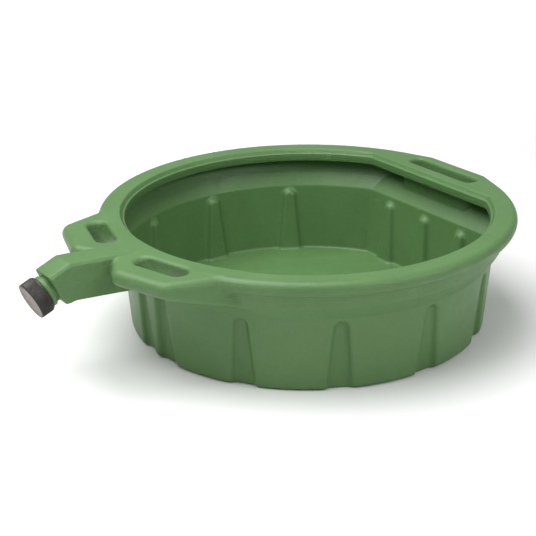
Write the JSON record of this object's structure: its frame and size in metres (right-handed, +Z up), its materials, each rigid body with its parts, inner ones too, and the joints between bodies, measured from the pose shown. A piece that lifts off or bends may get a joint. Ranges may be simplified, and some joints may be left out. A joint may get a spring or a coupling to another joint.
{
  "type": "oil drain pan",
  "caption": "Round low drain pan with a D-shaped opening, an inward lip, moulded grips and a pouring spout closed by a screw cap.",
  "frame": {"origin": "centre of the round part of the bowl, on the flat face the pan rests on", "axes": "+Z up, +X towards the rear grip and the flat wall, -X towards the pouring spout"},
  "size_m": [0.5866, 0.47, 0.1395],
  "materials": {
    "pan_plastic": "green high-density polyethylene with a fine moulded grain and a soft sheen",
    "cap_plastic": "black polypropylene, finely ribbed on its side, with a pale worn end face",
    "liner_foam": "off-white closed-cell foam"
  },
  "bodies": {
    "pan": {"pan_body": "pan_plastic"},
    "cap_carrier": {"cap_liner": "liner_foam"},
    "cap": {"spout_cap": "cap_plastic"}
  },
  "joints": [
    {"name": "cap_travel", "type": "slide", "parent": "pan", "child": "cap_carrier", "axis": [-0.9205, 0, -0.3907], "range_m": [0, 0.01681]},
    {"name": "cap_turn", "type": "hinge", "parent": "cap_carrier", "child": "cap", "pos_m": [-0.346, 0, 0.1023], "axis": [-0.9205, 0, -0.3907], "range_deg": [0, 1440]}
  ],
  "couplings": [
    {"joint": "cap_travel", "follows": "cap_turn", "m_per_rad": 0.00066845}
  ]
}
